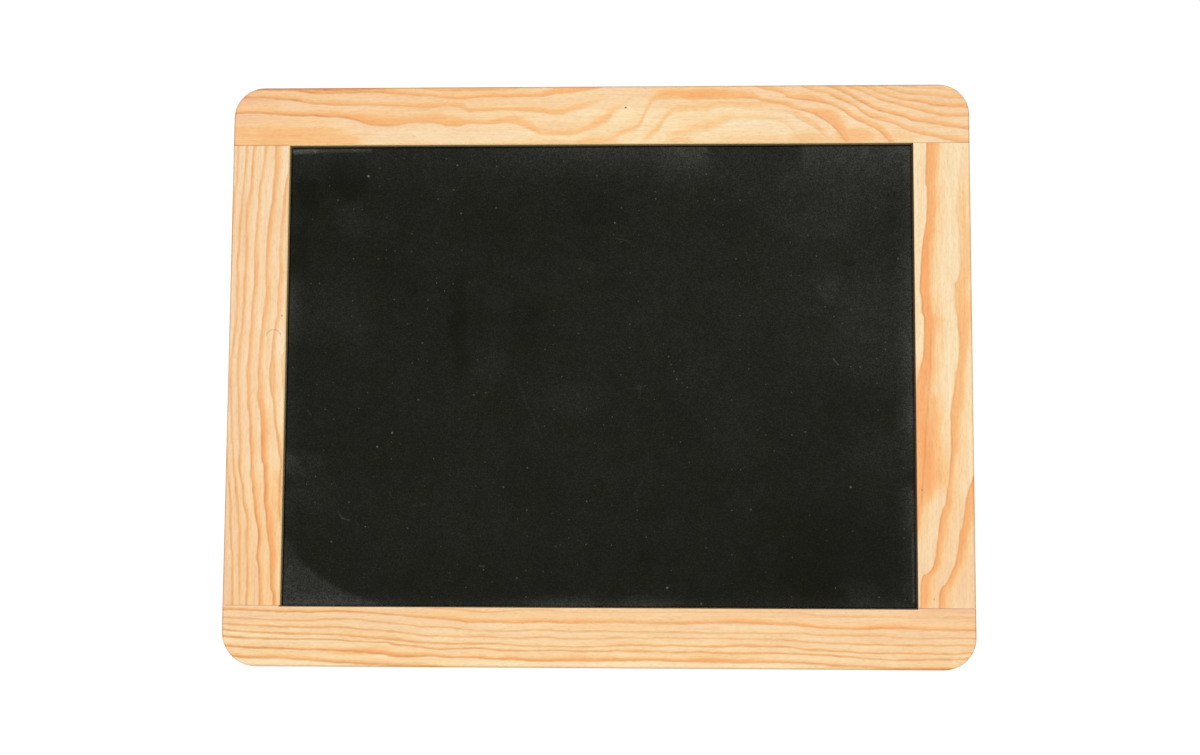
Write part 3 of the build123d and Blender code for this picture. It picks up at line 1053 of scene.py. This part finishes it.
# Thin chalk strokes and scratches: both ends, half width and film
CHALK_STROKES = (
    ((-31.0, 0.0), (-28.0, -9.0), 0.9, 0.009),
    ((-28.0, -9.0), (-21.0, -24.0), 0.9, 0.009),
    ((-56.0, 67.0), (-63.0, 53.0), 0.9, 0.008),
    ((13.5, -5.6), (18.0, -4.4), 0.9, 0.014),
    ((15.9, -5.0), (15.5, -9.0), 0.9, 0.016),
    ((18.5, -38.0), (14.0, -45.0), 0.9, 0.008),
    ((14.0, -45.0), (15.5, -50.0), 0.9, 0.008),
    ((88.5, 5.6), (90.2, 3.4), 0.55, 0.08),
    ((-97.5, -52.5), (-96.0, -54.8), 0.6, 0.04),
    ((-96.0, -54.8), (-93.5, -55.4), 0.6, 0.04),
    ((-69.0, -50.0), (-64.5, -49.4), 0.7, 0.02),
    ((-110.0, -14.0), (-108.7, -15.6), 0.6, 0.03),
    ((7.0, 51.7), (10.5, 51.0), 0.6, 0.018),
    ((10.5, 51.0), (13.5, 48.5), 0.6, 0.012),
    ((41.0, 55.0), (47.0, 49.5), 0.8, 0.009),
    ((-43.8, -72.4), (-42.2, -72.6), 0.55, 0.07),
    ((-117.5, 86.0), (-109.0, 86.2), 1.7, 0.11),
    ((-109.0, 86.2), (-88.0, 86.4), 1.4, 0.06),
    ((117.45, -60.0), (117.45, -85.0), 0.8, 0.045),
    ((43.0, 83.0), (51.5, 75.0), 2.2, 0.008),
)
# Single specks of chalk: place, radius and film
CHALK_SPECKS = (
    ((-88.4, 76.2), 0.55, 0.24), ((-54.3, 80.3), 0.4, 0.15), ((-61.5, 67.2), 0.35, 0.08),
    ((-55.5, 70.8), 0.35, 0.11), ((-52.6, 61.6), 0.4, 0.15), ((-36.5, 75.8), 0.35, 0.07),
    ((-72.5, 19.0), 0.35, 0.08), ((-66.8, 11.8), 0.4, 0.13), ((-70.5, 4.2), 0.35, 0.08),
    ((6.0, 57.8), 0.4, 0.15), ((52.0, 43.8), 0.35, 0.1), ((56.0, 46.0), 0.3, 0.08),
    ((113.0, 43.8), 0.35, 0.13), ((12.0, 38.5), 0.35, 0.07), ((12.0, 10.0), 0.35, 0.07),
    ((26.5, 6.6), 0.3, 0.12), ((27.5, 3.6), 0.3, 0.11), ((28.6, 1.0), 0.3, 0.12),
    ((29.6, -2.0), 0.35, 0.14), ((31.6, -3.4), 0.3, 0.11), ((33.6, -5.0), 0.3, 0.12),
    ((-77.7, -22.4), 0.45, 0.19), ((-83.3, -27.7), 0.45, 0.16), ((-47.0, -8.0), 0.4, 0.12),
    ((-16.5, -13.5), 0.35, 0.1), ((-35.4, -42.8), 0.35, 0.15), ((-30.0, -76.8), 0.4, 0.12),
    ((-15.5, -65.0), 0.35, 0.06), ((-100.0, -63.5), 0.4, 0.13), ((94.5, -42.5), 0.45, 0.2),
    ((57.3, -51.0), 0.4, 0.12), ((26.2, -80.2), 0.45, 0.22), ((38.8, -86.0), 0.35, 0.15),
    ((63.0, -23.0), 0.35, 0.07), ((77.7, -21.8), 0.35, 0.1), ((105.0, -13.7), 0.35, 0.07),
)


def segment_distance(desk, x, y, start, end):
    """How far a point is from a straight stroke."""
    run = (end[0] - start[0], end[1] - start[1])
    square = run[0] ** 2 + run[1] ** 2
    off_x, off_y = desk.apart(x, y, start)
    along = desk.math("MULTIPLY", off_y, run[1] / square)
    along = desk.span(desk.math("MULTIPLY_ADD", off_x, run[0] / square, along), 0.0, 1.0)
    off_x = desk.math("MULTIPLY_ADD", along, -run[0], off_x)
    off_y = desk.math("MULTIPLY_ADD", along, -run[1], off_y)
    return desk.length(off_x, off_y)


def edge_dust(desk, x, y, side):
    """Dust that lies along one side of the sight opening and thins out away from it."""
    if side in ("top", "bottom"):
        run, half, cross, inner = x, STILE_INNER, y, RAIL_INNER
    else:
        run, half, cross, inner = y, RAIL_INNER, x, STILE_INNER
    away = desk.math("MULTIPLY_ADD", cross, -1.0 if side in ("top", "right") else 1.0, inner)
    near = desk.span(away, 0.0, DUST_REACH[side], 1.0, 0.0)
    points = [((place / half + 1) / 2, amount) for place, amount in EDGE_DUST[side]]
    thick = desk.course(desk.span(run, -half, half), points)
    return desk.math("MULTIPLY", desk.math("MULTIPLY", near, near), thick)


def written_film(desk, x, y, warp):
    """The chalk film that use has left on the writing face."""
    warped_x = desk.math("ADD", x, warp)
    warped_y = desk.math("MULTIPLY_ADD", warp, WARP_UP, y)
    film = 0.0
    for centre, half_size, amount in CHALK_PATCHES:
        patch = soft_patch(desk, warped_x, warped_y, centre, half_size, hard=0.0)
        film = desk.math("MULTIPLY_ADD", patch, amount, film)

    wiped = soft_patch(desk, x, y, WIPED_CENTRE, WIPED_SIZE, WIPED_HARD)
    left = desk.math("MULTIPLY_ADD", wiped, -WIPED_SHARE, 1.0)
    dust = desk.math("MULTIPLY", edge_dust(desk, x, y, "top"), left)
    for side in ("bottom", "left", "right"):
        dust = desk.math("MAXIMUM", dust, edge_dust(desk, x, y, side))
    film = desk.math("ADD", film, dust)

    sweep = desk.length(*desk.apart(x, y, SWEEP_CENTRE))
    missed = desk.span(sweep, *SWEEP_FADE, 0.0, CORNER_FILM, smooth=True)
    corner = soft_patch(desk, x, y, CORNER_CENTRE, CORNER_SIZE, CORNER_HARD)
    film = desk.math("ADD", film, desk.math("MULTIPLY", missed, corner))

    for start, end, half_width, amount in CHALK_STROKES:
        away = segment_distance(desk, x, y, start, end)
        film = desk.math("ADD", film, desk.span(away, 0.0, half_width, amount, 0.0, smooth=True))
    return film


# Noise in the chalk film and in the stone
CLOUD = Variation((30, 30, 2), 0.35, 0.7, 0.004, 0.010, detail=4.0, roughness=0.6)
FILM_MOTTLE = Variation((6, 6, 2), 0.35, 0.7, 0.001, 0.005, detail=3.0)
WARP = Variation((11, 11, 2), 0.3, 0.7, -3.0, 3.0)
COARSE = Variation((1.6, 1.6, 1.6), 0.3, 0.7, 0.75, 1.25)
STONE_TINT = Variation((14, 14, 2), 0.4, 0.65)
GRIT_SIZE = (0.55, 0.55, 0.55)
GRIT_SHARE = (0.3, 0.75, 0.5, 1.6)
GRIT_FILM = (0.45, 0.75, 0.0, 0.014)


def chalk_film(desk, point, front):
    """The share of chalk film: faint clouds on both faces, and what use has left on the front."""
    x, y, _ = desk.axes(point)
    clouds = desk.math("ADD", desk.varied(point, CLOUD), desk.varied(point, FILM_MOTTLE))
    written = written_film(desk, x, y, desk.varied(point, WARP))
    return desk.math("MAXIMUM", desk.math("MULTIPLY_ADD", written, front, clouds), 0.0)


# Loose specks: one in each cell of a grid, of chance size and film. Those of the front lie elsewhere in it.
SPECK_CELL = (3.2, 3.2, 1.0)
SPECK_SIZE = (0.72, 1.0, 0.0, 0.1)
SPECK_EDGE = 0.03
SPECK_FILM = (0.3, 1.0, 0.02, 0.16)
FRONT_SHIFT = 500.0


def loose_specks(desk, x, y, front):
    """The film of small specks that lie about both faces."""
    flat = desk.joined(desk.math("MULTIPLY_ADD", front, FRONT_SHIFT, x), y, 0.0)
    cells = desk.node(
        "ShaderNodeTexVoronoi", {"Vector": desk.vector("DIVIDE", flat, SPECK_CELL), "Scale": 1.0},
        voronoi_dimensions="2D",
    ).outputs
    chance = desk.axes(cells["Color"])
    size = desk.span(chance[0], *SPECK_SIZE)
    speck = desk.span(desk.math("SUBTRACT", size, cells["Distance"]), 0.0, SPECK_EDGE)
    return desk.math("MULTIPLY", speck, desk.span(chance[1], *SPECK_FILM))


def chalk_specks(desk, x, y):
    """The film of the single specks on the writing face."""
    film = 0.0
    for centre, radius, amount in CHALK_SPECKS:
        film = desk.math("MULTIPLY_ADD", soft_patch(desk, x, y, centre, (radius, radius)), amount, film)
    return film


# Painted shade in the crevice round the slate. Its shift narrows it at the right and at the bottom by twice
# as much.
CREVICE_SHIFT = (0.17, 0.1)
CREVICE_FADE = (0.3, 0.65)
CREVICE_SHADE_TINT = (0.05, 0.04, 0.03)


def crevice(desk, x, y):
    """1 in the crevice between the slate and the frame, where shade is painted."""
    to_right, down = CREVICE_SHIFT
    across, up = desk.apart(x, y, (to_right, -down))
    from_stile = desk.math("SUBTRACT", STILE_INNER + to_right, desk.math("ABSOLUTE", across))
    from_rail = desk.math("SUBTRACT", RAIL_INNER + down, desk.math("ABSOLUTE", up))
    return desk.span(desk.math("MINIMUM", from_stile, from_rail), *CREVICE_FADE, 1.0, 0.0)


SLATE_RELIEF = 0.2
SLATE_GLOSS = 0.03
FILM_ROUGHNESS = (0.0, 0.05, 0.62, 0.85)


def slate_material(slate):
    """Near-black honed slate under a thin film of wiped chalk."""
    material, desk = new_material("wiped_slate")
    point = place_in_millimetres(desk)
    x, y, z = desk.axes(point)
    front = desk.math("GREATER_THAN", z, SLATE_MIDDLE)
    film = chalk_film(desk, point, front)
    grit = desk.noise(point, GRIT_SIZE, detail=1.0)
    film = desk.math("MULTIPLY", film, desk.span(grit, *GRIT_SHARE))
    film = desk.math("MULTIPLY", film, desk.varied(point, COARSE))
    film = desk.math("ADD", film, desk.span(grit, *GRIT_FILM))
    film = desk.math("ADD", film, loose_specks(desk, x, y, front))
    film = desk.math("MULTIPLY_ADD", chalk_specks(desk, x, y), front, film)

    colour = desk.mix(desk.varied(point, STONE_TINT), opaque(slate.stone), opaque(slate.cool_stone))
    colour = desk.mix(film, colour, opaque(slate.chalk))
    # Painted shade in the crevice round the slate
    colour = desk.tint(crevice(desk, x, y), colour, CREVICE_SHADE_TINT)
    finish_surface(desk, colour, desk.span(film, *FILM_ROUGHNESS), SLATE_GLOSS, grit, SLATE_RELIEF)
    return material


# What the slate's node tree is given, beside its material
PANEL_LENGTHS = (
    "Length", "Height", "Thickness", "Rim Thickness", "Bevel Width", "Ripple", "Ragged", "Middle",
)
PANEL_COUNTS = ("Columns", "Rows", "Seed")
# How the grid crowds towards the rim, how softly the bevel meets the face, and the noise of both in metres
CROWDING = 0.35
SHOULDER_ROUNDING = 0.12
BITE = Variation((0.011, 0.011, 0.3), 0.3, 0.7, detail=3.0)
WAVE_SIZE = (0.035, 0.022, 0.3)


def slate_tree():
    """A node tree that grows a honed panel with a bevelled rim, its bevel biting unevenly into the face."""
    tree = bpy.data.node_groups.new("Honed Panel", "GeometryNodeTree")
    for name in PANEL_LENGTHS:
        tree.interface.new_socket(name, in_out="INPUT", socket_type="NodeSocketFloat")
    for name in PANEL_COUNTS:
        tree.interface.new_socket(name, in_out="INPUT", socket_type="NodeSocketInt")
    tree.interface.new_socket("Material", in_out="INPUT", socket_type="NodeSocketMaterial")
    tree.interface.new_socket("Geometry", in_out="OUTPUT", socket_type="NodeSocketGeometry")
    desk = NodeDesk(tree)
    given = desk.node("NodeGroupInput").outputs
    half_length = desk.math("MULTIPLY", given["Length"], 0.5)
    half_height = desk.math("MULTIPLY", given["Height"], 0.5)
    half_rim = desk.math("MULTIPLY", given["Rim Thickness"], 0.5)

    blank = desk.node(
        "GeometryNodeMeshCube",
        {
            "Size": desk.joined(2.0, 2.0, 2.0), "Vertices X": given["Columns"], "Vertices Y": given["Rows"],
            "Vertices Z": 2,
        },
    )
    x, y, z = desk.axes(desk.node("GeometryNodeInputPosition").outputs[0])

    def crowded(share):
        """A share from -1 to 1 with more of its steps near the ends."""
        bend = desk.math("MULTIPLY_ADD", desk.math("MULTIPLY", share, share), -CROWDING, 1 + CROWDING)
        return desk.math("MULTIPLY", share, bend)

    x = desk.math("MULTIPLY", crowded(x), half_length)
    y = desk.math("MULTIPLY", crowded(y), half_height)
    from_end = desk.math("SUBTRACT", half_length, desk.math("ABSOLUTE", x))
    from_side = desk.math("SUBTRACT", half_height, desk.math("ABSOLUTE", y))
    inwards = desk.math("MINIMUM", from_end, from_side)

    spot = desk.joined(x, y, desk.math("ADD", given["Seed"], z))
    bite = desk.math("MULTIPLY", desk.varied(spot, BITE), given["Ragged"])
    rise = desk.math("DIVIDE", desk.math("SUBTRACT", inwards, bite), given["Bevel Width"])
    rise = desk.math("MAXIMUM", desk.math("SMOOTH_MIN", rise, 1.0, SHOULDER_ROUNDING), 0.0)
    swell = desk.math("MULTIPLY", desk.math("SUBTRACT", given["Thickness"], given["Rim Thickness"]), 0.5)
    half = desk.math("MULTIPLY_ADD", rise, swell, half_rim)
    wave = desk.math("MULTIPLY", desk.noise(spot, WAVE_SIZE), given["Ripple"])
    half = desk.math("SUBTRACT", half, desk.math("MULTIPLY", wave, rise))
    z = desk.math("MULTIPLY_ADD", z, half, given["Middle"])

    inputs = {"Geometry": blank.outputs[0], "Position": desk.joined(x, y, z)}
    placed = desk.node("GeometryNodeSetPosition", inputs)
    smooth = desk.node("GeometryNodeSetShadeSmooth", {"Geometry": placed.outputs[0]})
    whole = desk.node("GeometryNodeRealizeInstances", {"Geometry": smooth.outputs[0]})
    inputs = {"Geometry": whole.outputs[0], "Material": given["Material"]}
    painted = desk.node("GeometryNodeSetMaterial", inputs)
    desk.feed(desk.node("NodeGroupOutput").inputs[0], painted.outputs[0])
    return tree


def grown(name, tree, values):
    """An object whose mesh a node tree has made from named values, with no modifier left on it."""
    piece = bpy.data.objects.new(name, bpy.data.meshes.new(name))
    bpy.context.scene.collection.objects.link(piece)
    modifier = piece.modifiers.new(tree.name, "NODES")
    modifier.node_group = tree
    for socket in tree.interface.items_tree:
        if socket.in_out == "INPUT" and socket.name in values:
            modifier[socket.identifier] = values[socket.name]
    depsgraph = bpy.context.evaluated_depsgraph_get()
    mesh = bpy.data.meshes.new_from_object(piece.evaluated_get(depsgraph), depsgraph=depsgraph)
    piece.modifiers.clear()
    piece.data = mesh
    mesh.name = name
    return piece


SLATE_COLUMNS = 150
SLATE_ROWS = 116
SHARP_ANGLE = math.radians(40)


def make_slate(slate):
    """The slate panel, bevelled into its groove."""
    size = SLATE_HIGH - SLATE_LOW
    values = {
        "Length": size.x, "Height": size.y, "Thickness": size.z, "Rim Thickness": slate.rim_thickness,
        "Bevel Width": slate.bevel_width, "Ripple": slate.hone_ripple, "Ragged": slate.ragged_shoulder,
        "Middle": SLATE_MIDDLE * MILLIMETRE, "Columns": SLATE_COLUMNS, "Rows": SLATE_ROWS,
        "Seed": slate.seed, "Material": slate_material(slate),
    }
    panel = grown("honed_slate", slate_tree(), values)
    panel.data.set_sharp_from_angle(angle=SHARP_ANGLE)
    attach(panel, "root")
    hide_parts("slate_panel")


class SLATE_OT_rails(bpy.types.Operator):
    """Finish the two long rails"""

    bl_idname = "slate_board.rails"
    bl_label = "Finish Rails"

    def execute(self, context):
        dress_members(("top_rail", "bottom_rail"))
        return {"FINISHED"}


class SLATE_OT_stiles(bpy.types.Operator):
    """Finish the two short stiles"""

    bl_idname = "slate_board.stiles"
    bl_label = "Finish Stiles"

    def execute(self, context):
        dress_members(("left_stile", "right_stile"))
        return {"FINISHED"}


class SLATE_OT_panel(bpy.types.Operator):
    """Make the slate panel"""

    bl_idname = "slate_board.panel"
    bl_label = "Make Slate Panel"

    def execute(self, context):
        make_slate(context.scene.slate_board_slate)
        return {"FINISHED"}


def seen_directly(desk):
    """1 for rays that show the stage itself: camera, glossy and transmission rays."""
    rays = desk.node("ShaderNodeLightPath").outputs
    seen = desk.math("MAXIMUM", rays["Is Camera Ray"], rays["Is Glossy Ray"])
    return desk.math("MAXIMUM", seen, rays["Is Transmission Ray"])


FLOOR_DROP = 0.2 * MILLIMETRE
FLOOR_GLOW = 0.54
FLOOR_ROUGHNESS = 0.9
WHITE = opaque((1.0, 1.0, 1.0))


def make_floor(stage):
    """A pale floor that looks white and still takes the shadow."""
    half = stage.floor_size / 2
    mesh = bpy.data.meshes.new("floor")
    corners = [(x, y, -FLOOR_DROP) for x, y in ((-half, -half), (half, -half), (half, half), (-half, half))]
    mesh.from_pydata(corners, [], [(0, 1, 2, 3)])
    floor = bpy.data.objects.new("floor", mesh)
    bpy.context.scene.collection.objects.link(floor)
    material, desk = new_material("floor")
    shader = desk.node(
        "ShaderNodeBsdfPrincipled",
        {
            "Base Color": opaque(stage.floor_colour), "Roughness": FLOOR_ROUGHNESS,
            "Specular IOR Level": 0.0, "Emission Color": WHITE,
            "Emission Strength": desk.math("MULTIPLY", seen_directly(desk), FLOOR_GLOW),
        },
    )
    finish_material(desk, shader)
    mesh.materials.append(material)


KEY_DIRECTION = Vector((0.05, -0.08, 1.0)).normalized()


def make_light(stage):
    """Even sky light and one soft key lamp, high above the board. Together they light a face by 1."""
    scene = bpy.context.scene
    world = bpy.data.worlds.new("studio")
    world.use_nodes = True
    world.node_tree.nodes.clear()
    desk = NodeDesk(world.node_tree)
    strength = desk.span(seen_directly(desk), 0.0, 1.0, stage.sky_share, 1.0)
    background = desk.node("ShaderNodeBackground", {"Color": WHITE, "Strength": strength})
    output = desk.node("ShaderNodeOutputWorld")
    desk.feed(output.inputs["Surface"], background.outputs[0])
    scene.world = world
    lamp = bpy.data.lights.new("key", "SUN")
    lamp.energy = (1.0 - stage.sky_share) * math.pi / KEY_DIRECTION.z
    lamp.angle = stage.key_spread
    key = bpy.data.objects.new("key", lamp)
    key.location = KEY_DIRECTION
    key.rotation_euler = KEY_DIRECTION.to_track_quat("Z", "Y").to_euler()
    scene.collection.objects.link(key)


CAMERA_PLACE = Vector((37.69, -95.46, 824.53)) * MILLIMETRE
CAMERA_AIM = Vector((0.9, -1.8, 11.0)) * MILLIMETRE
CAMERA_TWIST = math.radians(0.311)
SENSOR_WIDTH = 36.0


def make_camera(stage):
    """The photograph's viewpoint, found from the frame's straight sides."""
    camera_data = bpy.data.cameras.new("camera")
    camera_data.sensor_fit = "HORIZONTAL"
    camera_data.sensor_width = SENSOR_WIDTH
    camera_data.lens = stage.lens
    camera = bpy.data.objects.new("camera", camera_data)
    forward = (CAMERA_AIM - CAMERA_PLACE).normalized()
    upright = Vector((-math.sin(CAMERA_TWIST), math.cos(CAMERA_TWIST), 0.0))
    right = forward.cross(upright).normalized()
    turn = Matrix((right, right.cross(forward), -forward)).transposed()
    camera.matrix_world = Matrix.Translation(CAMERA_PLACE) @ turn.to_4x4()
    bpy.context.scene.collection.objects.link(camera)
    bpy.context.scene.camera = camera


class SLATE_OT_stage(bpy.types.Operator):
    """Set up the floor, the light and the camera"""

    bl_idname = "slate_board.stage"
    bl_label = "Set the Stage"

    def execute(self, context):
        stage = context.scene.slate_board_stage
        make_floor(stage)
        make_light(stage)
        make_camera(stage)
        context.scene.view_settings.view_transform = "Standard"
        return {"FINISHED"}


OPERATORS = (SLATE_OT_rails, SLATE_OT_stiles, SLATE_OT_panel, SLATE_OT_stage)


class SLATE_PT_sidebar(bpy.types.Panel):
    """School slate builder"""

    bl_idname = "SLATE_PT_sidebar"
    bl_label = "School Slate"
    bl_space_type = "VIEW_3D"
    bl_region_type = "UI"
    bl_category = "Slate"

    def draw(self, context):
        for operator in OPERATORS:
            self.layout.operator(operator.bl_idname)


SETTINGS = {
    "slate_board_pine": PineSettings,
    "slate_board_slate": SlateSettings,
    "slate_board_stage": StageSettings,
}
CLASSES = (*SETTINGS.values(), *OPERATORS, SLATE_PT_sidebar)


def register():
    """Adds the classes and the settings to Blender."""
    for made in CLASSES:
        bpy.utils.register_class(made)
    for name, group in SETTINGS.items():
        setattr(bpy.types.Scene, name, PointerProperty(type=group))


def unregister():
    """Takes the settings and the classes out again."""
    for name in SETTINGS:
        delattr(bpy.types.Scene, name)
    for made in reversed(CLASSES):
        bpy.utils.unregister_class(made)


def main():
    """Builds the board and its stage."""
    register()
    bpy.ops.slate_board.rails()
    bpy.ops.slate_board.stiles()
    bpy.ops.slate_board.panel()
    bpy.ops.slate_board.stage()


if __name__ == "__main__":
    main()
